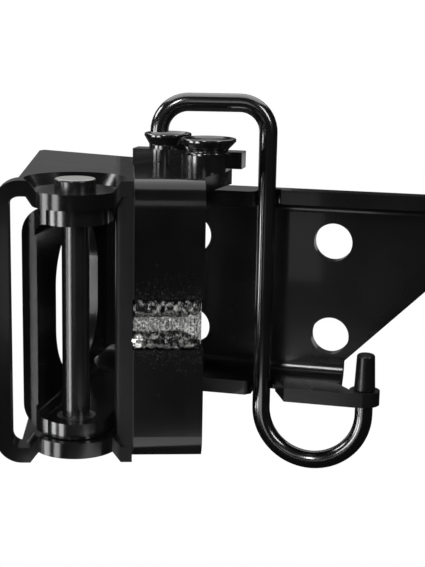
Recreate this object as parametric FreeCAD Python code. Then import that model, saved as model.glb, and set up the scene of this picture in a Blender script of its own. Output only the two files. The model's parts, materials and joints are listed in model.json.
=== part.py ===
"""Swing-away trailer tongue hinge bracket with a bent-rod latch, in millimetres.

Two press-formed plate brackets share a vertical hinge pin.  The inner bracket is bolted to
the side of the tongue beam through four holes; the outer bracket carries the latch collar
and its two flared posts.  A bent rod ties the two together.

Every function below works from the hinge pin: +X runs along the side plate, +Y away from
the front, +Z up, with the pin on the Z axis and mid-height at Z = 0.  export() then moves
the origin to the middle of the bolt pattern, on the back face that meets the beam.
"""
import FreeCAD, Part
import math
import os

from FreeCAD import Vector

# ---- plate stock and forming -------------------------------------------------------
PLATE = 6.35                 # plate thickness of both brackets
INNER_BEND = 5.0             # inside bend radius of the inner bracket
OUTER_BEND = 4.35            # inside bend radius of the outer bracket

# ---- hinge -------------------------------------------------------------------------
PIN_D = 11.2                 # hinge pin
PIN_PLAY = 0.05              # radial running fit of the pin
PIN_HEAD_D = 16.7            # disc head of the pin
PIN_TAIL = 1.4               # pin length past its clip
EAR_R = 13.5                 # round end of the inner bracket's ears
LOBE_R = 17.5                # round end of the outer bracket's lobes
LOBE_GAP = 0.45              # running gap between ear and lobe
POCKET_DEPTH = 4.5           # how far each lobe is pressed in
POCKET_SLOPE = 3.0           # width of the pressed step
BUSH_WALL = 2.3              # bush in each ear
BUSH_FIT = 0.0               # bushes are pressed in
WASHER_T = 1.5               # washer under the lower lobe
WASHER_R = 9.0
CLIP_T = 1.0                 # snap ring under the washer
CLIP_R = 7.6
CLIP_GROOVE = 0.9            # depth of the ring's groove in the pin

# ---- inner bracket: end plate and side plate -----------------------------------------
INNER_HEIGHT = 93.4          # over the flanges
END_FACE_X = -14.35          # inside face of the end plate
END_NEAR_Y = -6.0            # front edge of the end plate
SIDE_FACE_Y = 89.4           # front face of the side plate's web
WINDOW_W = 56.0              # wiring window in the end plate
WINDOW_H = 66.0
WINDOW_R = 24.0
WINDOW_Y = 44.0              # middle of the window
EAR_SIDE = 13.2              # right edge of the ear arm at the pin
EAR_SIDE_Y = 8.5             # where that edge starts to lean out
TONGUE_PLAY = 0.05           # end plate's tongue inside the side plate's bends
ARM_FLARE_X = 15.6           # right edge of the ear arm further back
ARM_FLARE_Y = 22.1
ARM_BACK_X = 34.0            # where the arm meets the side plate's flange
FLANGE_LEFT_Y = 66.7         # front edge of the side plate's left flange
FLANGE_RIGHT_Y = 76.5        # front edge of the side plate's right flange
NOTCH_LEFT_X = 57.5          # rod notch in both flanges
NOTCH_RIGHT_X = 70.0
NOTCH_DEEP_Y = 80.0
NOTCH_CHAMFER = 2.5
NOTCH_CORNER = 2.0
SIDE_FOOT_X = 99.3           # lower right corner of the side plate
SIDE_FOOT_Z = -34.0          # where its sloping edge starts
SIDE_SLOPE = 45.0            # degrees
SIDE_END_X = 172.0           # blunt right end

# ---- bolt pattern --------------------------------------------------------------------
BOLT_HOLE_D = 17.5
BOLT_DX = 66.0
BOLT_DZ = 44.0
BOLT_MID_X = 59.65            # middle of the pattern, from the pin

# ---- outer bracket ---------------------------------------------------------------------
OUTER_TURN = 17.0            # degrees that the outer bracket is turned about the pin
FRONT_V = -9.0               # outside face of the front web, in the turned frame
POST_IN_U = -26.0            # inside face of the left post
POST_BACK_V = 1.5            # back edge of the left post
WEB_LEFT_U = 23.0            # front web
WEB_RIGHT_U = 51.8
JAMB_R = 7.0                 # rounded left edge of the front web
JAMB_BACK_V = 0.6
SEAM_HALF = 10.4             # the front web is open this far each side of mid-height
LEFT_NEAR_UV = (-22.5, 1.5)  # corners of the top and bottom plates
LEFT_FAR_UV = (-21.0, 104.0)
LEFT_TIP_UV = (-19.0, 107.2)
RIGHT_FAR_UV = (62.0, 52.6)
RIGHT_MID_UV = (65.6, 34.5)
RIGHT_NEAR_UV = (51.8, 4.0)
STRIP_HALF = 3.1             # middle strip in the seam
STRIP_IN = 1.6               # how far the strip sits behind the front face
BEAD_R = 4.2                 # weld beads above and below the strip
BEAD_PROUD = 0.4             # beads stand this far off the front face
SEAM_INSET = 1.1             # the seam is this much narrower than the web at the right

# ---- latch collar and posts ----------------------------------------------------------------
BACK_POST = (22.2, 59.2)     # axes of the two posts, from the pin
FRONT_POST = (44.6, 41.6)
COLLAR_T = 7.2
BACK_LOBE = (20.9, 59.2)      # centres of the collar's two lobes
FRONT_LOBE = (42.8, 41.3)
BACK_LOBE_R = 7.2            # collar round the back post
FRONT_LOBE_R = 9.5           # and round the front post
COLLAR_EAR_Y = (53.0, 62.0)
COLLAR_LEFT_X = 8.0
COLLAR_RIGHT_X = 56.6
POST_HEIGHT = 14.0           # top of the posts above the plate
BACK_RIM_R = 10.3            # flared heads
FRONT_RIM_R = 11.6
POST_RIM_T = 1.3
POST_NECK_R = 8.25
POST_NECK_H = 2.0            # straight neck above the collar
POST_LIP = 1.2               # flat lip round the dish, then a slope of the same width
POST_DISH = 0.8              # shallow dish in the top
POST_SHANK_R = 5.0
POST_FIT = 0.0
POST_RING_R = 9.4            # ring at the front post's foot
POST_RING_H = 1.2

# ---- latch rod, cap and tab -------------------------------------------------------------------
ROD_D = 8.0
ROD_TIP = (18.4, 59.0)       # axis of the tip, from the pin
ROD_LEG = (65.0, 69.0)       # long leg, from the pin
HOOK_PITCH = 46.8            # between the two legs of the hook
HOOK_Z = -52.0               # height of the hook's centre
ROD_TOP_Z = 85.4             # centre line of the top run
ROD_BEND_R = 12.7
TIP_GAP = 0.3                # between the rod's tip and the back post
SPIGOT_D = 6.4               # end of the rod inside the cap
SPIGOT_L = 11.0
CAP_L = 16.3
CAP_FOOT_R = 4.75
CAP_TOP_R = 4.0
CAP_GAP = 0.3                # cap above the tab
CAP_FIT = 0.05
TAB_FRONT_Y = 61.5
TAB_LEFT_FRONT_X = 76.6
TAB_WAIST_X = 106.6          # where the arm meets the eye
TAB_WAIST_Y = 66.0
TAB_ARM_X = 98.0             # where the arm's back edge leaves the flange
TAB_EYE_R = 6.8
TAB_HOLE_PLAY = 0.55
WELD_R = 1.6                 # small fillet and butt welds

HALF_IN = INNER_HEIGHT / 2
SIDE_BACK_Y = SIDE_FACE_Y + PLATE
END_OUT_X = END_FACE_X - PLATE
LOBE_IN_Z = HALF_IN + LOBE_GAP          # inside face of a lobe
LOBE_OUT_Z = LOBE_IN_Z + PLATE          # outside face of a lobe
HOOK_EYE_X = ROD_LEG[0] + HOOK_PITCH
HALF_OUT = LOBE_OUT_Z + POCKET_DEPTH     # outside face of the outer bracket's plates
OUTER_HEIGHT = 2 * HALF_OUT
POST_TOP_Z = HALF_OUT + POST_HEIGHT


# ---- small builders ----------------------------------------------------------------------------
def rounded_wire(points, plane):
    """Closed wire through 2-D points (a, b) or (a, b, radius); plane(a, b) gives the 3-D point."""
    count = len(points)
    ends = []
    for i in range(count):
        a, b = points[i][0], points[i][1]
        radius = points[i][2] if len(points[i]) > 2 else 0.0
        if radius == 0.0:
            ends.append((None, Vector(a, b, 0), Vector(a, b, 0)))
            continue
        corner = Vector(a, b, 0)
        before = Vector(points[i - 1][0], points[i - 1][1], 0) - corner
        after = Vector(points[(i + 1) % count][0], points[(i + 1) % count][1], 0) - corner
        before.normalize()
        after.normalize()
        half = before.getAngle(after) / 2
        reach = radius / math.tan(half)
        middle = before + after
        middle.normalize()
        centre = corner + middle * (radius / math.sin(half))
        ends.append((centre - middle * radius, corner + before * reach, corner + after * reach))
    edges = []
    for i in range(count):
        middle, start, stop = ends[i]
        if middle is not None:
            edges.append(Part.Arc(plane(start), plane(middle), plane(stop)).toShape())
        following = ends[(i + 1) % count][1]
        if (following - stop).Length > 1e-6:
            edges.append(Part.LineSegment(plane(stop), plane(following)).toShape())
    return Part.Wire(edges)


def slab(points, z0, z1):
    """Plan outline extruded from height z0 to z1."""
    wire = rounded_wire(points, lambda p: Vector(p.x, p.y, z0))
    return Part.Face(wire).extrude(Vector(0, 0, z1 - z0))


def along_x(points, x0, x1):
    """Section drawn in (y, z), extruded along X."""
    wire = rounded_wire(points, lambda p: Vector(x0, p.x, p.y))
    return Part.Face(wire).extrude(Vector(x1 - x0, 0, 0))


def along_y(points, y0, y1):
    """Section drawn in (x, z), extruded along Y."""
    wire = rounded_wire(points, lambda p: Vector(p.x, y0, p.y))
    return Part.Face(wire).extrude(Vector(0, y1 - y0, 0))


def turned(profile):
    """Solid of revolution about Z from (radius, z) points."""
    wire = rounded_wire(profile, lambda p: Vector(p.x, 0, p.y))
    return Part.Face(wire).revolve(Vector(0, 0, 0), Vector(0, 0, 1), 360)


def rod_between(start, stop, radius):
    """Straight round bar from start to stop."""
    return Part.makeCylinder(radius, (stop - start).Length, start, stop - start)


def moved(shape, x, y, z=0.0):
    """Copy of a shape, shifted."""
    copy = shape.copy()
    copy.translate(Vector(x, y, z))
    return copy


def flipped(shape):
    """Copy mirrored in the mid-height plane."""
    return shape.mirror(Vector(0, 0, 0), Vector(0, 0, 1))


def in_outer_frame(shape):
    """The outer bracket is drawn square to its own front web, then turned about the pin."""
    copy = shape.copy()
    copy.rotate(Vector(0, 0, 0), Vector(0, 0, 1), OUTER_TURN)
    return copy


def fused(shapes):
    """One clean solid from overlapping pieces."""
    return shapes[0].fuse(shapes[1:]).removeSplitter()


# ---- inner bracket -----------------------------------------------------------------------------
def channel_section(back, front, outward):
    """C section: web with its outside at back, flanges reaching to front."""
    inner_back = back - outward * PLATE
    inner_half = HALF_IN - PLATE
    return [
        (front, HALF_IN), (back, HALF_IN, INNER_BEND + PLATE), (back, -HALF_IN, INNER_BEND + PLATE),
        (front, -HALF_IN),
        (front, -inner_half), (inner_back, -inner_half, INNER_BEND),
        (inner_back, inner_half, INNER_BEND), (front, inner_half),
    ]


def arm_outline():
    """Plan of the end plate's two ear arms, without the round ends."""
    return [
        (END_OUT_X, END_NEAR_Y), (0, -EAR_R), (EAR_SIDE, 0), (EAR_SIDE, EAR_SIDE_Y), (ARM_FLARE_X, ARM_FLARE_Y),
        (ARM_BACK_X, FLANGE_LEFT_Y), (END_OUT_X, FLANGE_LEFT_Y),
    ]


def end_plate():
    """Channel whose web stands across the beam's end, with an ear on each flange."""
    section = channel_section(END_OUT_X, ARM_BACK_X + PLATE, -1)
    body = along_y(section, -EAR_R, FLANGE_LEFT_Y)
    plan = slab(arm_outline(), -HALF_IN, HALF_IN)
    ear = Part.makeCylinder(EAR_R, INNER_HEIGHT, Vector(0, 0, -HALF_IN))
    near_trim = slab([(END_OUT_X, END_NEAR_Y), (END_FACE_X, END_NEAR_Y), (END_FACE_X, -2 * EAR_R),
                      (END_OUT_X, -2 * EAR_R)], -HALF_IN, HALF_IN)
    body = body.common(fused([plan, ear])).cut(near_trim)
    top = HALF_IN - PLATE - INNER_BEND - TONGUE_PLAY
    tongue = slab([(END_OUT_X, FLANGE_LEFT_Y - PLATE), (END_FACE_X, FLANGE_LEFT_Y - PLATE),
                   (END_FACE_X, SIDE_FACE_Y), (END_OUT_X, SIDE_FACE_Y)], -top, top)
    window = along_x([
        (WINDOW_Y - WINDOW_W / 2, WINDOW_H / 2, WINDOW_R), (WINDOW_Y + WINDOW_W / 2, WINDOW_H / 2, WINDOW_R),
        (WINDOW_Y + WINDOW_W / 2, -WINDOW_H / 2, WINDOW_R), (WINDOW_Y - WINDOW_W / 2, -WINDOW_H / 2, WINDOW_R),
    ], END_OUT_X - 1, END_FACE_X + 1)
    bush_hole = Part.makeCylinder(PIN_D / 2 + PIN_PLAY + BUSH_WALL + BUSH_FIT, INNER_HEIGHT + 2,
                                  Vector(0, 0, -HALF_IN - 1))
    return fused([body, tongue]).cut(window).cut(bush_hole).removeSplitter()


def side_plate():
    """Channel with the four bolt holes, a rod notch in each flange and a sloping end."""
    section = channel_section(SIDE_BACK_Y, FLANGE_LEFT_Y, 1)
    body = along_x(section, END_OUT_X, SIDE_END_X)
    front = FLANGE_LEFT_Y - 1
    inner_x = NOTCH_LEFT_X + NOTCH_CHAMFER
    notch = slab([
        (NOTCH_LEFT_X, front), (NOTCH_LEFT_X, FLANGE_LEFT_Y), (inner_x, FLANGE_LEFT_Y + NOTCH_CHAMFER),
        (inner_x, NOTCH_DEEP_Y, NOTCH_CORNER), (NOTCH_RIGHT_X, NOTCH_DEEP_Y, NOTCH_CORNER), (NOTCH_RIGHT_X, FLANGE_RIGHT_Y),
        (SIDE_END_X + 1, FLANGE_RIGHT_Y), (SIDE_END_X + 1, front),
    ], -HALF_IN - 1, HALF_IN + 1)
    rise = (HALF_IN - SIDE_FOOT_Z) / math.tan(math.radians(SIDE_SLOPE))
    far = SIDE_FOOT_X + rise + 1
    slope = Part.Face(Part.makePolygon([
        Vector(SIDE_FOOT_X, front, -HALF_IN - 1), Vector(SIDE_FOOT_X, front, SIDE_FOOT_Z),
        Vector(SIDE_FOOT_X + rise, front, HALF_IN), Vector(far, front, HALF_IN),
        Vector(far, front, -HALF_IN - 1), Vector(SIDE_FOOT_X, front, -HALF_IN - 1),
    ])).extrude(Vector(0, SIDE_BACK_Y - front + 1, 0))
    body = body.cut([notch, slope])
    return body.cut(bolt_holes(SIDE_FACE_Y - 1, SIDE_BACK_Y + 1)).removeSplitter()


def bolt_holes(y0, y1):
    """The four cylinders of the bolt pattern."""
    holes = []
    for side in (-1, 1):
        for level in (-1, 1):
            base = Vector(BOLT_MID_X + side * BOLT_DX / 2, y0, level * BOLT_DZ / 2)
            holes.append(Part.makeCylinder(BOLT_HOLE_D / 2, y1 - y0, base, Vector(0, 1, 0)))
    return holes


def bush():
    """Plain bush pressed into the upper ear."""
    outer = PIN_D / 2 + PIN_PLAY + BUSH_WALL
    return turned([(PIN_D / 2 + PIN_PLAY, HALF_IN - PLATE), (outer, HALF_IN - PLATE),
                   (outer, HALF_IN), (PIN_D / 2 + PIN_PLAY, HALF_IN)])


def corner_weld():
    """Fillet weld down the inside corner of end plate and side plate."""
    reach = 2.5 * WELD_R
    top = HALF_IN - PLATE - INNER_BEND - WELD_R
    outline = [(END_FACE_X, SIDE_FACE_Y - reach), (END_FACE_X + reach, SIDE_FACE_Y), (END_FACE_X, SIDE_FACE_Y)]
    return slab(outline, -top, top)


def flange_weld():
    """Butt weld between the upper ear arm and the side plate's flange, proud on top."""
    start = Vector(END_OUT_X + INNER_BEND + PLATE, FLANGE_LEFT_Y, HALF_IN)
    bead = rod_between(start, Vector(ARM_BACK_X - WELD_R, FLANGE_LEFT_Y, HALF_IN), WELD_R)
    below = slab([(END_OUT_X, FLANGE_LEFT_Y - PLATE), (ARM_BACK_X, FLANGE_LEFT_Y - PLATE),
                  (ARM_BACK_X, SIDE_BACK_Y), (END_OUT_X, SIDE_BACK_Y)], 0, HALF_IN)
    return bead.cut(below)


# ---- outer bracket -----------------------------------------------------------------------------
def lower_right_edge():
    """The lower plate's right edge runs straight back from the web to the far edge."""
    (u0, v0), (u1, v1) = RIGHT_FAR_UV, LEFT_TIP_UV
    share = (WEB_RIGHT_U - u0) / (u1 - u0)
    return [(WEB_RIGHT_U, v0 + share * (v1 - v0))]


def plate_outline(right_edge):
    """Plan of a plate in the outer frame, up to the bend of the front web."""
    tangent = FRONT_V + OUTER_BEND + PLATE
    post_tangent = POST_IN_U + OUTER_BEND
    return [
        (post_tangent, FRONT_V), (WEB_LEFT_U, FRONT_V), (WEB_LEFT_U, tangent), (WEB_RIGHT_U, tangent),
    ] + right_edge + [
        LEFT_TIP_UV, LEFT_FAR_UV, LEFT_NEAR_UV,
        (post_tangent, POST_BACK_V),
    ]


def shell_half(right_edge):
    """Plate with its pressed pocket and lobe, upper front web and upper half of the post."""
    under = HALF_OUT - PLATE
    fold = OUTER_BEND + PLATE
    plate = slab(plate_outline(right_edge), under, HALF_OUT)
    web = along_x([
        (FRONT_V + fold, HALF_OUT), (FRONT_V, HALF_OUT, fold), (FRONT_V, SEAM_HALF),
        (FRONT_V + PLATE, SEAM_HALF), (FRONT_V + PLATE, under, OUTER_BEND), (FRONT_V + fold, under),
    ], WEB_LEFT_U, WEB_RIGHT_U)
    jamb = slab([
        (WEB_LEFT_U, FRONT_V), (WEB_LEFT_U - JAMB_R, FRONT_V, JAMB_R - 0.5), (WEB_LEFT_U - JAMB_R, JAMB_BACK_V),
        (WEB_LEFT_U, JAMB_BACK_V),
    ], 0, under)
    post_out = POST_IN_U - PLATE
    post = along_y([
        (post_out + fold, HALF_OUT), (post_out, HALF_OUT, fold), (post_out, 0),
        (POST_IN_U, 0), (POST_IN_U, under, OUTER_BEND), (post_out + fold, under),
    ], FRONT_V, POST_BACK_V)
    shell = fused([plate, web, jamb, post])
    rim = LOBE_R + POCKET_SLOPE
    keep = slab([(-2 * rim, FRONT_V), (2 * rim, FRONT_V), (2 * rim, 2 * rim), (-2 * rim, 2 * rim)],
                0, OUTER_HEIGHT)
    pressed = turned([(0, LOBE_IN_Z), (LOBE_R, LOBE_IN_Z), (rim, under), (rim, HALF_OUT), (0, HALF_OUT)])
    lobe = turned([(0, LOBE_IN_Z), (LOBE_R, LOBE_IN_Z), (LOBE_R, LOBE_OUT_Z), (0, LOBE_OUT_Z)])
    pocket = turned([(0, LOBE_OUT_Z), (LOBE_R, LOBE_OUT_Z), (rim, HALF_OUT), (rim, OUTER_HEIGHT), (0, OUTER_HEIGHT)])
    shell = fused([shell, pressed.common(keep), lobe]).cut(pocket)
    hole = Part.makeCylinder(PIN_D / 2 + PIN_PLAY, OUTER_HEIGHT, Vector(0, 0, 0))
    return in_outer_frame(shell.cut(hole)).removeSplitter()


def upper_shell():
    """Upper half, with the holes for the two latch posts."""
    shanks = [moved(Part.makeCylinder(POST_SHANK_R + POST_FIT, OUTER_HEIGHT), *spot)
              for spot in (BACK_POST, FRONT_POST)]
    return shell_half([RIGHT_NEAR_UV, RIGHT_MID_UV, RIGHT_FAR_UV]).cut(shanks).removeSplitter()


def lower_shell():
    """Lower half: the same pressing turned over, narrower at the right and with no post holes."""
    return flipped(shell_half(lower_right_edge()))


def seam_strip():
    """Flat strip behind the opening between the two halves of the front web."""
    front = FRONT_V + STRIP_IN
    return in_outer_frame(along_x([
        (front, STRIP_HALF), (front, -STRIP_HALF), (FRONT_V + PLATE, -STRIP_HALF), (FRONT_V + PLATE, STRIP_HALF),
    ], WEB_LEFT_U, WEB_RIGHT_U - SEAM_INSET))


def seam_weld():
    """Weld between the strip and the upper half of the front web."""
    middle = (SEAM_HALF + STRIP_HALF) / 2
    bead = rod_between(Vector(WEB_LEFT_U, FRONT_V + PLATE / 2, middle),
                       Vector(WEB_RIGHT_U - SEAM_INSET, FRONT_V + PLATE / 2, middle), BEAD_R)
    gap = along_x([
        (FRONT_V - BEAD_PROUD, SEAM_HALF), (FRONT_V - BEAD_PROUD, STRIP_HALF),
        (FRONT_V + PLATE, STRIP_HALF), (FRONT_V + PLATE, SEAM_HALF),
    ], WEB_LEFT_U, WEB_RIGHT_U)
    return in_outer_frame(bead.common(gap))


def hinge_pin():
    """Headed pin with a groove for its snap ring."""
    radius = PIN_D / 2
    washer_z = -LOBE_OUT_Z - WASHER_T
    clip_z = washer_z - CLIP_T
    end = clip_z - PIN_TAIL
    chamfer = 1.0
    return turned([
        (0, HALF_OUT), (PIN_HEAD_D / 2, HALF_OUT, 0.8), (PIN_HEAD_D / 2, LOBE_OUT_Z), (radius, LOBE_OUT_Z),
        (radius, washer_z), (radius - CLIP_GROOVE, washer_z), (radius - CLIP_GROOVE, clip_z),
        (radius, clip_z), (radius, end + chamfer), (radius - chamfer, end), (0, end),
    ])


def pin_washer():
    """Plain washer under the lower lobe."""
    top = -LOBE_OUT_Z
    inner = PIN_D / 2 + PIN_PLAY
    return turned([(inner, top - WASHER_T), (WASHER_R, top - WASHER_T), (WASHER_R, top), (inner, top)])


def pin_clip():
    """Split snap ring in the pin's groove."""
    top = -LOBE_OUT_Z - WASHER_T
    inner = PIN_D / 2 - CLIP_GROOVE
    ring = turned([(inner, top - CLIP_T), (CLIP_R, top - CLIP_T), (CLIP_R, top), (inner, top)])
    split = slab([(0, -PIN_D / 4), (2 * CLIP_R, -PIN_D / 4), (2 * CLIP_R, PIN_D / 4), (0, PIN_D / 4)],
                 top - 2 * CLIP_T, top + CLIP_T)
    return ring.cut(split)


# ---- latch collar and posts ------------------------------------------------------------------------
def collar():
    """Lobed plate round both posts, with a square ear at each end."""
    y0, y1 = COLLAR_EAR_Y
    z1 = HALF_OUT + COLLAR_T
    bar = slab([(COLLAR_LEFT_X, y0), (COLLAR_RIGHT_X, y0), (COLLAR_RIGHT_X, y1), (COLLAR_LEFT_X, y1)],
               HALF_OUT, z1)
    base = Vector(0, 0, HALF_OUT)
    lobes = [moved(Part.makeCylinder(BACK_LOBE_R, COLLAR_T, base), *BACK_LOBE),
             moved(Part.makeCylinder(FRONT_LOBE_R, COLLAR_T, base), *FRONT_LOBE)]
    x, y = FRONT_LOBE
    neck = slab([(x - FRONT_LOBE_R, y), (x + FRONT_LOBE_R, y), (x + FRONT_LOBE_R, y1),
                 (x - FRONT_LOBE_R, y1)], HALF_OUT, z1)
    holes = [moved(Part.makeCylinder(POST_SHANK_R + POST_FIT, OUTER_HEIGHT), *spot)
             for spot in (BACK_POST, FRONT_POST)]
    return fused([bar, neck] + lobes).cut(holes).removeSplitter()


def post_ring():
    """Ring round the foot of the front post."""
    z0 = HALF_OUT + COLLAR_T
    ring = turned([(POST_NECK_R, z0), (POST_RING_R, z0), (POST_RING_R, z0 + POST_RING_H, 0.5),
                   (POST_NECK_R, z0 + POST_RING_H)])
    return moved(ring, *FRONT_POST)


def flared_post(spot, rim):
    """Post with a shank through collar and plate and a flared, dished head."""
    z0 = HALF_OUT + COLLAR_T
    rim_low = POST_TOP_Z - POST_RIM_T
    waist = z0 + POST_NECK_H
    head = turned([
        (0, HALF_OUT - PLATE), (POST_SHANK_R, HALF_OUT - PLATE), (POST_SHANK_R, z0), (POST_NECK_R, z0),
        (POST_NECK_R, waist, 1.5), (rim, rim_low), (rim, POST_TOP_Z, 0.6),
        (rim - POST_LIP, POST_TOP_Z), (rim - 2 * POST_LIP, POST_TOP_Z - POST_DISH), (0, POST_TOP_Z - POST_DISH),
    ])
    return moved(head, *spot)


# ---- latch rod, cap, tab ---------------------------------------------------------------------------
def latch_rod():
    """Bent wire form: tip over the back post, long leg, hook, and a thin end for the cap."""
    radius = ROD_D / 2
    leg = Vector(ROD_LEG[0], ROD_LEG[1], 0)
    tip = Vector(ROD_TIP[0], ROD_TIP[1], 0)
    across = leg - tip
    across.normalize()
    up = Vector(0, 0, 1)
    bend = ROD_BEND_R
    diagonal = bend * (1 - math.sqrt(0.5))
    tip_low = tip + up * (POST_TOP_Z + TIP_GAP)
    tip_high = tip + up * (ROD_TOP_Z - bend)
    run_a = tip + across * bend + up * ROD_TOP_Z
    arc_a = tip + across * diagonal + up * (ROD_TOP_Z - diagonal)
    run_b = leg - across * bend + up * ROD_TOP_Z
    arc_b = leg - across * diagonal + up * (ROD_TOP_Z - diagonal)
    leg_top = leg + up * (ROD_TOP_Z - bend)
    hook_r = HOOK_PITCH / 2
    leg_low = leg + up * HOOK_Z
    hook_low = leg + Vector(hook_r, 0, HOOK_Z - hook_r)
    eye_low = leg + Vector(HOOK_PITCH, 0, HOOK_Z)
    shoulder = eye_low + up * (-HALF_IN + PLATE + CAP_GAP - HOOK_Z)
    path = Part.Wire([
        Part.LineSegment(tip_low, tip_high).toShape(), Part.Arc(tip_high, arc_a, run_a).toShape(),
        Part.LineSegment(run_a, run_b).toShape(), Part.Arc(run_b, arc_b, leg_top).toShape(),
        Part.LineSegment(leg_top, leg_low).toShape(), Part.Arc(leg_low, hook_low, eye_low).toShape(),
        Part.LineSegment(eye_low, shoulder).toShape(),
    ])
    ring = Part.Wire(Part.makeCircle(radius, tip_low, up))
    bar = path.makePipeShell([ring], True, False)
    spigot = rod_between(shoulder, shoulder + up * SPIGOT_L, SPIGOT_D / 2)
    return bar.fuse(spigot)


def rod_cap():
    """Tapered rubber cap on the rod's end."""
    foot = -HALF_IN + PLATE + CAP_GAP
    top = foot + CAP_L
    bore = SPIGOT_D / 2 + CAP_FIT
    roof = foot + SPIGOT_L + CAP_FIT
    cap = turned([
        (bore, foot), (CAP_FOOT_R, foot), (CAP_FOOT_R - 0.2, foot + CAP_L * 0.25), (CAP_TOP_R, top, 1.2), (0, top),
        (0, roof), (bore, roof),
    ])
    return moved(cap, HOOK_EYE_X, ROD_LEG[1])


def latch_tab():
    """Flat arm in front of the lower flange, with the eye that the hook passes through."""
    eye_y = ROD_LEG[1]
    arm = slab([
        (NOTCH_RIGHT_X, FLANGE_RIGHT_Y), (TAB_LEFT_FRONT_X, TAB_FRONT_Y), (HOOK_EYE_X, TAB_FRONT_Y),
        (HOOK_EYE_X, TAB_WAIST_Y), (TAB_WAIST_X, TAB_WAIST_Y), (TAB_ARM_X, FLANGE_RIGHT_Y),
    ], -HALF_IN, -HALF_IN + PLATE)
    eye = Part.makeCylinder(TAB_EYE_R, PLATE, Vector(HOOK_EYE_X, eye_y, -HALF_IN))
    hole = Part.makeCylinder(ROD_D / 2 + TAB_HOLE_PLAY, 2 * PLATE, Vector(HOOK_EYE_X, eye_y, -HALF_IN - PLATE / 2))
    return fused([arm, eye]).cut(hole).removeSplitter()


def tab_weld():
    """Weld under the joint of tab and lower flange."""
    bead = rod_between(Vector(NOTCH_RIGHT_X + WELD_R, FLANGE_RIGHT_Y, -HALF_IN),
                       Vector(TAB_ARM_X - WELD_R, FLANGE_RIGHT_Y, -HALF_IN), WELD_R)
    above = slab([(NOTCH_RIGHT_X, TAB_FRONT_Y), (SIDE_FOOT_X, TAB_FRONT_Y), (SIDE_FOOT_X, SIDE_BACK_Y),
                  (NOTCH_RIGHT_X, SIDE_BACK_Y)], -HALF_IN, 0)
    return bead.cut(above)


# ---- export ------------------------------------------------------------------------------------------
def export(name, shape):
    """Writes one node, with the origin moved to the bolt pattern on the beam face."""
    placed = moved(shape, -BOLT_MID_X, -SIDE_BACK_Y)
    placed.exportStep("parts/" + name + ".step")
    print(name, "solids", len(placed.Solids), "valid", placed.isValid(), "volume", round(placed.Volume, 1))


def main():
    os.makedirs("parts", exist_ok=True)
    export("outer_upper_shell", upper_shell())
    export("outer_lower_shell", lower_shell())
    export("seam_strip", seam_strip())
    export("seam_weld_upper", seam_weld())
    export("seam_weld_lower", flipped(seam_weld()))
    export("hinge_pin", hinge_pin())
    export("hinge_pin_washer", pin_washer())
    export("hinge_pin_clip", pin_clip())
    export("latch_collar", collar())
    export("latch_post_back", flared_post(BACK_POST, BACK_RIM_R))
    export("latch_post_front", flared_post(FRONT_POST, FRONT_RIM_R))
    export("post_ring_front", post_ring())
    export("inner_end_plate", end_plate())
    export("inner_side_plate", side_plate())
    export("ear_bush_upper", bush())
    export("ear_bush_lower", flipped(bush()))
    export("corner_weld", corner_weld())
    export("flange_weld_upper", flange_weld())
    export("flange_weld_lower", flipped(flange_weld()))
    export("latch_tab", latch_tab())
    export("tab_weld", tab_weld())
    export("latch_rod", latch_rod())
    export("rod_cap", rod_cap())


main()
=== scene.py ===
"""Swing-away trailer tongue hinge bracket: finishes, weld detail, studio and camera.

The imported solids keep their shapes.  This script gives each one its finish, adds the weld
beads, grit and spatter that are too fine for the solids, and sets up a white studio whose
narrow bright panels are what the gloss black paint mirrors.  Values whose names or comments
say mm are millimetres; the scene itself is in metres.
"""
import json
import math

import bpy
import numpy as np
from mathutils import Matrix, Vector


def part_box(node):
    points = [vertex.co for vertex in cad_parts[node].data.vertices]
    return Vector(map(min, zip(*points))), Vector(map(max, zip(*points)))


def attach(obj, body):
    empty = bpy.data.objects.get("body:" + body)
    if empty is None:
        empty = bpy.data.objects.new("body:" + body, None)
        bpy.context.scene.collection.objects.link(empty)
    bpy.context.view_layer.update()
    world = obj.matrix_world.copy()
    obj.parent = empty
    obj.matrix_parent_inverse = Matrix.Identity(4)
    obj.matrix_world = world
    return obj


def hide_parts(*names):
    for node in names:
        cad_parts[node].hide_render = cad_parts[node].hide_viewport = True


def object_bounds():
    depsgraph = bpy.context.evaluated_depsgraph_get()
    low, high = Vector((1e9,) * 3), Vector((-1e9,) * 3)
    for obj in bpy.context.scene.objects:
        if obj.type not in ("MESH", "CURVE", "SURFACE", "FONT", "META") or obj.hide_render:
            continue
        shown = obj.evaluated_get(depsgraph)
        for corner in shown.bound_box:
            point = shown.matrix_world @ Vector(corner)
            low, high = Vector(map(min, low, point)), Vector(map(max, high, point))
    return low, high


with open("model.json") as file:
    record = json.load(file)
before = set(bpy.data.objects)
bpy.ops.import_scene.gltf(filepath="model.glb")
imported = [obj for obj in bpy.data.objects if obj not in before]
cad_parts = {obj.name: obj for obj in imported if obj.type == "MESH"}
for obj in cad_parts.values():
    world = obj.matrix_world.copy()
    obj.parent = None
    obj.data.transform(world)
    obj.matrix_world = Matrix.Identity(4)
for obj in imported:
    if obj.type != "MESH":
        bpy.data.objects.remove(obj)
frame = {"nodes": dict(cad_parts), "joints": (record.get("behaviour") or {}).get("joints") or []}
CAD_LOW, CAD_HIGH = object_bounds()

MM = 0.001
PLATE = 6.35              # mm, thickness of the outer plates
OUTER_TURN_DEG = 17.0     # how far the outer bracket is turned about the pin
TURN = math.radians(OUTER_TURN_DEG)
ALONG = np.array((math.cos(TURN), math.sin(TURN), 0.0))   # along the front web, from the pin
OUT = np.array((math.sin(TURN), -math.cos(TURN), 0.0))    # out of the front web's face
UP = np.array((0.0, 0.0, 1.0))
HINGE = np.array(next(j for j in frame["joints"] if j["name"] == "hinge_swing")["pos_m"])


# ---- materials -----------------------------------------------------------------------------
EVEN = (1, 1, 1)          # a pattern that isn't stretched


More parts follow.
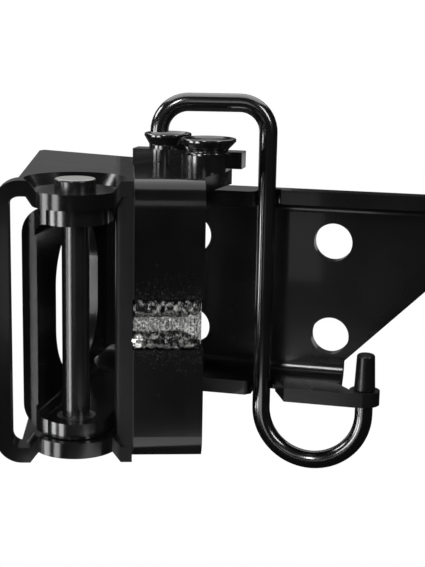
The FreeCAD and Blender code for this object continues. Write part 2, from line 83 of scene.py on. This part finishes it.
def srgb(code):
    """Linear RGBA from an sRGB hex code: the sRGB curve, undone channel by channel."""
    out = []
    for i in (0, 2, 4):
        c = int(code[i:i + 2], 16) / 255
        out.append(c / 12.92 if c <= 0.04045 else ((c + 0.055) / 1.055) ** 2.4)
    return (*out, 1.0)


def add(tree, kind, inputs, stops=(), **settings):
    """Adds a node.  inputs maps a socket's name or number to its value, or to the output that
    feeds it; stops are a colour ramp's (position, hex) pairs; settings are its properties."""
    node = tree.nodes.new(kind)
    for key, value in settings.items():
        setattr(node, key, value)
    for key, value in inputs.items():
        if isinstance(value, bpy.types.NodeSocket):
            tree.links.new(value, node.inputs[key])
        else:
            node.inputs[key].default_value = value
    if stops:
        elements = node.color_ramp.elements
        while len(elements) < len(stops):
            elements.new(0.5)
        for element, (position, code) in zip(elements, stops):
            element.position, element.color = position, srgb(code)
    return node


def surface(name, patterns, tones, gloss, relief, patch=None, **shader):
    """One finish, worked out from Object coordinates.

    patterns: noises as (feature in mm, detail, stretch); the first one shades the finish
    tones:    (position, hex) stops of the colours over that noise
    gloss:    roughness at the noise's lowest and highest value
    relief:   bumps from the lowest layer up, as (number of a pattern, height in mm, strength)
    patch:    (steps, hex or None, roughness or None), how the part of the piece that lies past
              every step differs; a step is (direction, its start along that in mm from the
              origin, softness in mm) and rises smoothly from 0 to 1
    shader:   sockets that are the same all over
    """
    mat = bpy.data.materials.new(name)
    mat.use_nodes = True
    tree = mat.node_tree
    tree.nodes.clear()
    place = add(tree, "ShaderNodeTexCoord", {}).outputs["Object"]
    heights = []
    for feature, detail, stretch in patterns:
        placed = add(tree, "ShaderNodeMapping", {"Vector": place, "Scale": stretch})
        noise = add(tree, "ShaderNodeTexNoise", {
            "Vector": placed.outputs[0], "Scale": 1 / (feature * MM), "Detail": detail})
        heights.append(noise.outputs["Fac"])
    colour = add(tree, "ShaderNodeValToRGB", {"Fac": heights[0]}, tones).outputs["Color"]
    rough = add(tree, "ShaderNodeMapRange", {
        "Value": heights[0], "To Min": gloss[0], "To Max": gloss[1]}).outputs["Result"]
    if patch:
        steps, other_colour, other_rough = patch
        inside = 1.0
        for direction, start, soft in steps:
            reach = add(tree, "ShaderNodeVectorMath", {0: place, 1: direction},
                        operation="DOT_PRODUCT")
            step = add(tree, "ShaderNodeMapRange", {
                "Value": reach.outputs["Value"], "From Min": (start - soft / 2) * MM,
                "From Max": (start + soft / 2) * MM}, interpolation_type="SMOOTHSTEP")
            inside = add(tree, "ShaderNodeMath", {0: inside, 1: step.outputs["Result"]},
                         operation="MULTIPLY").outputs[0]
        if other_colour:
            colour = add(tree, "ShaderNodeMix", {
                "Factor": inside, "A": colour, "B": srgb(other_colour)},
                data_type="RGBA").outputs["Result"]
        if other_rough:
            rough = add(tree, "ShaderNodeMix", {
                "Factor": inside, "A": rough, "B": other_rough},
                data_type="FLOAT").outputs["Result"]
    sockets = {"Base Color": colour, "Roughness": rough}
    for number, height, strength in relief:
        bump = {"Height": heights[number], "Distance": height * MM, "Strength": strength}
        if "Normal" in sockets:
            bump["Normal"] = sockets["Normal"]
        sockets["Normal"] = add(tree, "ShaderNodeBump", bump).outputs["Normal"]
    for key, value in shader.items():
        sockets[key.replace("_", " ")] = value
    made = add(tree, "ShaderNodeBsdfPrincipled", sockets)
    add(tree, "ShaderNodeOutputMaterial", {"Surface": made.outputs[0]})
    return mat


def weld_with_painted_light(name, grain, detail, tones, gloss, height):
    """Weld metal under dipped paint, its colour following the bump's height: painted shade in
    the hollows and pale painted highlights on its high spots.
    """
    return surface(name, [(grain, detail, EVEN)], tones, gloss, [(0, height, 1.0)],
                   IOR=1.5, Coat_Weight=0.2, Coat_Roughness=0.15)


def bare_steel(name, dark, pale, gloss):
    """Bare steel with turning rings 0.8 mm apart: real ones are finer and wouldn't show."""
    return surface(name, [(0.8, 2.0, (0.3, 0.3, 2.0))], [(0.3, dark), (0.7, pale)], gloss,
                   [(0, 0.03, 0.5)], Metallic=1.0)


def finish_node(node, material):
    """Puts one material in every slot of a CAD node's object."""
    obj = frame["nodes"][node]
    if not obj.material_slots:
        obj.data.materials.append(material)
    for entry in obj.material_slots:
        entry.material = material


# ---- new pieces ----------------------------------------------------------------------------
def place_mesh(name, verts, faces):
    """Smooth-shaded object with its place in its mesh."""
    mesh = bpy.data.meshes.new(name)
    mesh.from_pydata(verts.tolist(), [], faces)
    mesh.update()
    mesh.shade_smooth()
    obj = bpy.data.objects.new(name, mesh)
    bpy.context.scene.collection.objects.link(obj)
    return obj


def skin(name, points):
    """Closed skin over rows of points, each row a ring: every cell of the grid is a four-sided
    face, and a fan of triangles round the ring's middle closes each end."""
    rows, cols = points.shape[:2]
    index = np.arange(rows * cols).reshape(rows, cols)
    after = np.roll(index, -1, axis=1)
    cells = np.stack((index[:-1], after[:-1], after[1:], index[1:]), axis=-1).reshape(-1, 4)
    hub = np.full(cols, rows * cols)
    near_end = np.stack((hub, after[0], index[0]), axis=-1)
    far_end = np.stack((index[-1], after[-1], hub + 1), axis=-1)
    verts = np.vstack((points.reshape(-1, 3), points[0].mean(axis=0), points[-1].mean(axis=0)))
    return place_mesh(name, verts, cells.tolist() + near_end.tolist() + far_end.tolist())


def lay(middle, along, out, up):
    """Points that lie these distances along the front web, out of it and up from middle."""
    return middle + along[..., None] * ALONG + out[..., None] * OUT + up[..., None] * UP


def smooth_noise(u, v, seed):
    """Lumpy height between about -1 and 1: five sine waves over u and v, each with a drawn
    direction and phase, the quicker ones lower."""
    rng = np.random.default_rng(seed)
    total = np.zeros(np.broadcast(u, v).shape)
    for octave in range(1, 6):
        a, b = rng.uniform(-1, 1, 2) * octave * 2.2
        total += np.sin(a * u + b * v + rng.uniform(0, 2 * math.pi)) / octave
    return total / 2.0


def ring_grid(start, end, rows, cols):
    """A column that runs from start to end, and a row of angles once round."""
    return (np.linspace(start, end, rows)[:, None],
            np.linspace(0, 2 * math.pi, cols, endpoint=False)[None, :])


def seam_box(node, depth):
    """Middle, length along the web and height of a seam node that is depth metres deep."""
    low, high = (np.array(corner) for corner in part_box(node))
    span = high - low
    return (low + high) / 2, (span[0] - depth * math.sin(TURN)) / math.cos(TURN), span[2]


def weld_run(name, node, seed):
    """Weld bead over a seam node: an oval carried along the node's length.  Its radius is
    half the plate, plus the rise and fall of overlapping puddles (the size of a sine along
    the seam, leaning with the angle), plus smooth noise, and it tapers at both ends."""
    depth = PLATE * MM
    puddle_length, puddle_rise, puddle_lean = 3.4 * MM, 0.45 * MM, 0.9
    lump_height, overlap, taper = 0.32 * MM, 0.3 * MM, 0.04
    middle, length, height = seam_box(node, depth)
    t, a = ring_grid(-0.5, 0.5, 90, 40)
    puddle = np.abs(np.sin(t * length / puddle_length * math.pi + puddle_lean * np.cos(a)))
    lumps = smooth_noise(t * 26, np.cos(a) * 3, seed) * lump_height
    swell = puddle_rise * puddle + lumps
    fade = np.clip((0.5 - np.abs(t)) / taper, 0, 1) ** 0.5
    out = np.cos(a) * (depth / 2 + swell) * (0.55 + 0.45 * fade)
    up = np.sin(a) * (height / 2 + overlap + 0.4 * swell) * (0.7 + 0.3 * fade)
    # the angles run clockwise about the seam, so each ring is reversed to face outwards
    return skin(name, lay(middle, t * length, out, up)[:, ::-1])


def gritty_strip(name, node, seed):
    """Middle strip of the seam: a rounded bar (cosine and sine of the angle, each to the power
    0.35) with random grain on its skin, that spreads to about three times its height over
    the last quarter of its length, along a smooth step."""
    depth = (PLATE - 1.6) * MM      # the strip sits 1.6 mm behind the web's face
    grain_height, cover, bulge, square = 0.16, 0.6 * MM, 0.9 * MM, 0.35
    middle, length, height = seam_box(node, depth)
    rows, cols = 150, 64
    t, a = ring_grid(-0.5, 0.5, rows, cols)
    grain = np.random.default_rng(seed).normal(0, grain_height, (rows, cols)) * MM
    grain = (grain + np.roll(grain, 1, 0) + np.roll(grain, 1, 1)) / 2
    box_cos = np.sign(np.cos(a)) * np.abs(np.cos(a)) ** square
    box_sin = np.sign(np.sin(a)) * np.abs(np.sin(a)) ** square
    step = np.clip((t - 0.22) / 0.2, 0, 1)
    ragged = 0.22 * smooth_noise(t * 30, np.sign(box_sin) * 2, seed + 1)
    spread = 1 + 1.9 * step * step * (3 - 2 * step) + ragged
    out = box_cos * (depth / 2 + cover + grain + bulge * step)
    up = box_sin * (height / 2 * spread + grain * 0.5)
    return skin(name, lay(middle, t * length, out, up)[:, ::-1])


def droplet(name, node, along_mm, seed):
    """One weld drop at the pin's end of a seam node: a ball with radii 3.0, 2.3 and 3.0 mm
    along, out and up, whose radius swells and shrinks by 8% of smooth noise."""
    low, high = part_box(node)
    middle = HINGE + ALONG * along_mm * MM + OUT * 8.2 * MM + UP * (low[2] + high[2]) / 2
    pole = 0.06                     # radians left open at each pole, which the fans close
    t, a = ring_grid(pole, math.pi - pole, 24, 36)
    swell = 1 + 0.08 * smooth_noise(t * 3, np.cos(a) * 2, seed)
    return skin(name, lay(middle, 3.0 * MM * np.sin(t) * np.cos(a) * swell,
                          2.3 * MM * np.sin(t) * np.sin(a) * swell,
                          3.0 * MM * np.cos(t) * swell))


def spatter(name, seed, count):
    """Weld spatter on the front web: domes of three eight-point rings and a tip on a closed
    base.  They lie at random along the web, and their distance from the seam follows a
    falling exponential, so they are thicker near it."""
    rng = np.random.default_rng(seed)
    seam_half, reach, web_face = 10.6, 3.2, 9.0     # mm; web_face is from the pin's axis
    drawn = np.array([(rng.choice((-1, 1)), rng.exponential(reach), rng.uniform(23.8, 51.0),
                       rng.uniform(0.12, 0.30)) for _ in range(count)])
    side, away, along, radius = drawn.T
    spots = lay(HINGE, along * MM, np.full(count, web_face * MM),
                side * (seam_half + away) * MM)
    sides = 8
    angle = 2 * math.pi * np.arange(sides) / sides
    rings = [(ring * np.cos(angle), np.full(sides, lift), ring * np.sin(angle))
             for ring, lift in ((1.0, 0.0), (0.86, 0.5), (0.5, 0.86))]
    tip = (np.zeros(1), np.ones(1), np.zeros(1))
    dome = lay(np.zeros(3), *(np.concatenate(part) for part in zip(*rings, tip)))
    verts = spots[:, None] + (radius * MM)[:, None, None] * dome
    pattern = [tuple(reversed(range(sides)))]
    for k in range(sides):
        m = (k + 1) % sides
        pattern += [(k, m, sides + m, sides + k),
                    (sides + k, sides + m, 2 * sides + m, 2 * sides + k),
                    (2 * sides + k, 2 * sides + m, 3 * sides)]
    faces = [tuple(first + k for k in face)
             for first in range(0, count * len(dome), len(dome)) for face in pattern]
    return place_mesh(name, verts.reshape(-1, 3), faces)


def soften_edges(node, width_mm):
    """Rounds a node's hard edges a little, as tumbling and paint leave them."""
    bevel = frame["nodes"][node].modifiers.new("edge", "BEVEL")
    bevel.width = width_mm * MM
    bevel.segments = 3
    bevel.limit_method = "ANGLE"
    bevel.angle_limit = math.radians(38)
    bevel.use_clamp_overlap = True


# ---- studio --------------------------------------------------------------------------------
def panel(name, spot, target, width, height, power):
    """Soft rectangular light that faces target; sizes in metres, power in watts."""
    data = bpy.data.lights.new(name, "AREA")
    data.shape = "RECTANGLE"
    data.size, data.size_y, data.energy = width, height, power
    obj = bpy.data.objects.new(name, data)
    obj.location = spot
    obj.rotation_euler = (Vector(target) - Vector(spot)).to_track_quat("-Z", "Y").to_euler()
    obj.visible_camera = False
    bpy.context.scene.collection.objects.link(obj)


def around(azimuth, distance, height):
    """Point on a circle about the hinge pin; azimuth 0 is straight in front, minus is left."""
    a = math.radians(azimuth)
    return (HINGE[0] + distance * math.sin(a), HINGE[1] - distance * math.cos(a), height)


def studio(low):
    """Floor and backdrop that the camera sees as plain white and the gloss paint as dark."""
    world = bpy.data.worlds.new("studio")
    world.use_nodes = True
    tree = world.node_tree
    tree.nodes.clear()
    ray = add(tree, "ShaderNodeLightPath", {})
    seen = add(tree, "ShaderNodeBackground", {"Color": (1, 1, 1, 1)})
    room = add(tree, "ShaderNodeBackground", {"Color": srgb("1f1f1f")})
    mix = add(tree, "ShaderNodeMixShader", {
        "Fac": ray.outputs["Is Camera Ray"], 1: room.outputs[0], 2: seen.outputs[0]})
    add(tree, "ShaderNodeOutputWorld", {"Surface": mix.outputs[0]})
    bpy.context.scene.world = world

    half, level = 3.0, low - 0.002
    mesh = bpy.data.meshes.new("floor")
    mesh.from_pydata([(-half, -half, level), (half, -half, level), (half, half, level),
                      (-half, half, level)], [], [(0, 1, 2, 3)])
    floor = bpy.data.objects.new("floor", mesh)
    bpy.context.scene.collection.objects.link(floor)
    mat = bpy.data.materials.new("pale floor")
    mat.use_nodes = True
    tree = mat.node_tree
    tree.nodes.clear()
    matt = add(tree, "ShaderNodeBsdfPrincipled", {
        "Base Color": srgb("6e6e6e"), "Roughness": 0.9})
    white = add(tree, "ShaderNodeEmission", {"Color": (1, 1, 1, 1), "Strength": 1.0})
    ray = add(tree, "ShaderNodeLightPath", {})
    mix = add(tree, "ShaderNodeMixShader", {
        "Fac": ray.outputs["Is Camera Ray"], 1: matt.outputs[0], 2: white.outputs[0]})
    add(tree, "ShaderNodeOutputMaterial", {"Surface": mix.outputs[0]})
    mesh.materials.append(mat)
    floor.visible_glossy = False


def camera():
    """Perspective camera in front of the pin, turned to the left and looking a little down."""
    yaw, pitch, roll = (math.radians(a) for a in (13.192, 11.722, 0.980))
    forward = Vector((-math.sin(yaw) * math.cos(pitch), math.cos(yaw) * math.cos(pitch),
                      -math.sin(pitch)))
    level_right = Vector((math.cos(yaw), math.sin(yaw), 0))
    level_up = level_right.cross(forward)
    right = math.cos(roll) * level_right + math.sin(roll) * level_up
    up = -math.sin(roll) * level_right + math.cos(roll) * level_up
    data = bpy.data.cameras.new("camera")
    data.sensor_width, data.lens = 36.0, 78.13
    data.shift_x, data.shift_y = 0.0155, -0.0134
    data.clip_start, data.clip_end = 0.01, 50
    obj = bpy.data.objects.new("camera", data)
    spot = Vector(HINGE) + Vector((161.6, -462.5, 120.2)) * MM
    turned = Matrix((right, up, -forward)).transposed().to_4x4()
    obj.matrix_world = Matrix.Translation(spot) @ turned
    bpy.context.scene.collection.objects.link(obj)
    bpy.context.scene.camera = obj


camera()
bpy.context.scene.view_settings.view_transform = "Standard"
studio(CAD_LOW.z)

# ---- finishes ------------------------------------------------------------------------------
HINGE_ALONG = float(ALONG @ HINGE) / MM       # the pin's place along the front web, in mm
PIN_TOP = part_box("hinge_pin")[1][2] / MM      # top of the pin's head, in mm
# Orange peel in dipped paint is about 0.5 mm across; it is drawn at 1.1 mm so that it shows.
PEEL = (1.1, 4.0, EVEN)

# Dipped gloss black on press-formed plate: a slow swell from the press under orange peel, and
# a dull, thinly covered stretch where the web's left edge rolls back towards the pin.
rolled_edge = [(ALONG, HINGE_ALONG + 17.0, 3.0), (-ALONG, -HINGE_ALONG - 23.4, 1.2)]
outer = surface("gloss black paint, outer plates", [(28.0, 2.0, EVEN), PEEL],
                [(0.3, "0b0b0c"), (0.7, "151516")], (0.13, 0.22),
                [(0, 0.30, 1.0), (1, 0.02, 0.5)], (rolled_edge, None, 1.0), IOR=1.46)
# The same paint on bent plate; the lower flange's front end is duller, and painted lighter grey:
# a painted highlight for the light its front face catches.
painted_lit_end = [((0, -1, 0), 28.4, 0.6), ((0, 0, -1), 0.0, 2.0)]
inner = surface("gloss black paint, side plate", [(36.0, 2.0, EVEN), PEEL],
                [(0.3, "080809"), (0.7, "121213")], (0.2, 0.32),
                [(0, 0.35, 1.0), (1, 0.03, 0.5)], (painted_lit_end, "2a2a2b", 0.4),
                IOR=1.55, Coat_Weight=0.35, Coat_Roughness=0.06)
# Paint over torch-cut plate: fine level lines, thick enough here to show in the gloss.
cut_lines = (1.0, 2.0, (0.08, 0.08, 1.6))
edges = surface("gloss black paint on cut plate", [(40.0, 2.0, EVEN), cut_lines],
                [(0.3, "0c0c0d"), (0.7, "161617")], (0.16, 0.28),
                [(0, 0.25, 1.0), (1, 0.05, 0.6)],
                IOR=1.55, Coat_Weight=0.3, Coat_Roughness=0.08)
# The tab is sawn bar with one thin coat: the same lines, less shine.
tab = surface("gloss black paint on sawn tab", [(40.0, 2.0, EVEN), cut_lines],
              [(0.3, "0e0e0f"), (0.7, "181819")], (0.22, 0.34),
              [(0, 0.25, 1.0), (1, 0.05, 0.6)], IOR=1.45)
# Thick wet paint on drawn rod: smooth, with strong narrow highlights.  Such paint has an IOR
# of about 1.5; on the rod, the small forged pieces and the pin it is raised until the
# highlights are as strong as a thick coat's.
rod = surface("gloss black paint, rod", [(20.0, 2.0, EVEN)],
              [(0.3, "0a0a0b"), (0.7, "121213")], (0.16, 0.22), [(0, 0.04, 1.0)],
              IOR=1.9, Coat_Weight=0.5, Coat_Roughness=0.06)
# Thick paint on the small forged pieces: strong highlights over orange peel.
posts = surface("gloss black paint, posts", [(9.0, 2.0, EVEN), PEEL],
                [(0.3, "0b0b0b"), (0.7, "181818")], (0.14, 0.22),
                [(0, 0.06, 1.0), (1, 0.02, 0.5)],
                IOR=1.9, Coat_Weight=0.3, Coat_Roughness=0.06)
# Painted turned pin; the flat top of its head is pale.
head_top = [((0, 0, 1), PIN_TOP - 0.2, 0.02)]
pin = surface("gloss black pin, pale head", [(30.0, 2.0, EVEN), (1.4, 3.0, EVEN)],
              [(0.3, "0c0c0d"), (0.7, "171718")], (0.22, 0.3), [(1, 0.02, 0.5)],
              (head_top, "a6a6a4", None), IOR=1.7)
# Moulded rubber with some dipped paint on it: soft highlights, a faint moulding swell.
rubber = surface("moulded black rubber", [(6.0, 3.0, EVEN)],
                 [(0.3, "080808"), (0.7, "121212")], (0.26, 0.4), [(0, 0.08, 1.0)], IOR=1.5)
# The pale top tones of the beads and the grit are painted highlights on their high spots, and
# their dark low tones are painted shade in the hollows.
beads = weld_with_painted_light("painted weld bead", 2.4, 2.0,
                   [(0.35, "080808"), (0.52, "1d1d1d"), (0.72, "9c9c98")], (0.12, 0.3), 0.7)
grit = weld_with_painted_light("weld grit, painted highlights and shade", 0.9, 5.0,
                  [(0.35, "2a2a2a"), (0.52, "8c8c8a"), (0.72, "e6e6e2")], (0.3, 0.6), 0.30)
steel = bare_steel("plain turned steel", "7d7d7b", "a3a3a0", (0.25, 0.45))
drop_metal = bare_steel("bare weld metal", "d0d0cc", "e6e6e2", (0.3, 0.42))

for material, nodes in (
        (outer, ("outer_upper_shell", "outer_lower_shell")),
        (inner, ("inner_side_plate",)),
        (edges, ("inner_end_plate", "corner_weld", "flange_weld_upper", "flange_weld_lower",
                 "tab_weld")),
        (tab, ("latch_tab",)),
        (posts, ("latch_collar", "latch_post_back", "latch_post_front", "post_ring_front")),
        (steel, ("ear_bush_upper", "ear_bush_lower", "hinge_pin_washer", "hinge_pin_clip")),
        (pin, ("hinge_pin",)),
        (rod, ("latch_rod",)),
        (rubber, ("rod_cap",))):
    for node in nodes:
        finish_node(node, material)

# ---- weld detail ---------------------------------------------------------------------------
for name, node, seed in (("bead_upper", "seam_weld_upper", 3),
                         ("bead_lower", "seam_weld_lower", 8)):
    piece = weld_run(name, node, seed)
    piece.data.materials.append(beads)
    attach(piece, "outer_bracket")
    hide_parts(node)
strip = gritty_strip("seam_grit_strip", "seam_strip", 5)
strip.data.materials.append(grit)
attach(strip, "outer_bracket")
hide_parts("seam_strip")
drops = spatter("weld_spatter", 11, 520)
drops.data.materials.append(outer)
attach(drops, "outer_bracket")
blob = droplet("weld_droplet", "seam_weld_lower", 25.4, 4)
blob.data.materials.append(drop_metal)
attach(blob, "outer_bracket")

for node, width_mm in (("outer_upper_shell", 1.6), ("outer_lower_shell", 1.6),
                       ("inner_end_plate", 0.5), ("inner_side_plate", 0.5),
                       ("latch_tab", 0.5), ("latch_collar", 0.4), ("hinge_pin", 0.3)):
    soften_edges(node, width_mm)

# ---- lights --------------------------------------------------------------------------------
middle = (CAD_LOW + CAD_HIGH) / 2
card = (HINGE[0] + 0.045, HINGE[1] - 0.045, CAD_LOW.z - 0.001)
glow = (HINGE[0] + 0.026, HINGE[1] - 0.26, -0.035)
for name, spot, target, width, height, power in (
        ("left front strip", around(-34, 0.40, -0.055), HINGE, 0.11, 0.31, 0.95),
        ("left side strip", around(-66, 0.40, -0.055), HINGE, 0.13, 0.31, 1.05),
        ("left high", around(-88, 1.3, 0.75), middle, 0.5, 0.5, 8),
        ("right high", around(60, 1.4, 0.7), middle, 0.25, 0.7, 6),
        ("front bank", around(17, 1.2, 0.36), middle, 0.3, 0.45, 0.42),
        ("high front strip", around(-6, 1.5, 1.0), middle, 0.22, 0.6, 9),
        ("top", (-0.1, 0.55, 1.5), middle, 2.6, 2.2, 30),
        ("back sheet", (-1.2, 1.8, 0.45), middle, 2.0, 1.0, 1.05),
        ("floor card", card, (card[0], card[1], 1.0), 0.10, 0.07, 0.038),
        ("low front glow", glow, (glow[0] + 0.047, 0.0, 0.01), 0.03, 0.07, 0.005),
        ("low back card, left", around(215, 0.45, -0.03), middle, 0.26, 0.11, 0.04),
        ("low back card, right", around(162, 0.45, -0.03), middle, 0.26, 0.11, 0.04)):
    panel(name, spot, target, width, height, power)
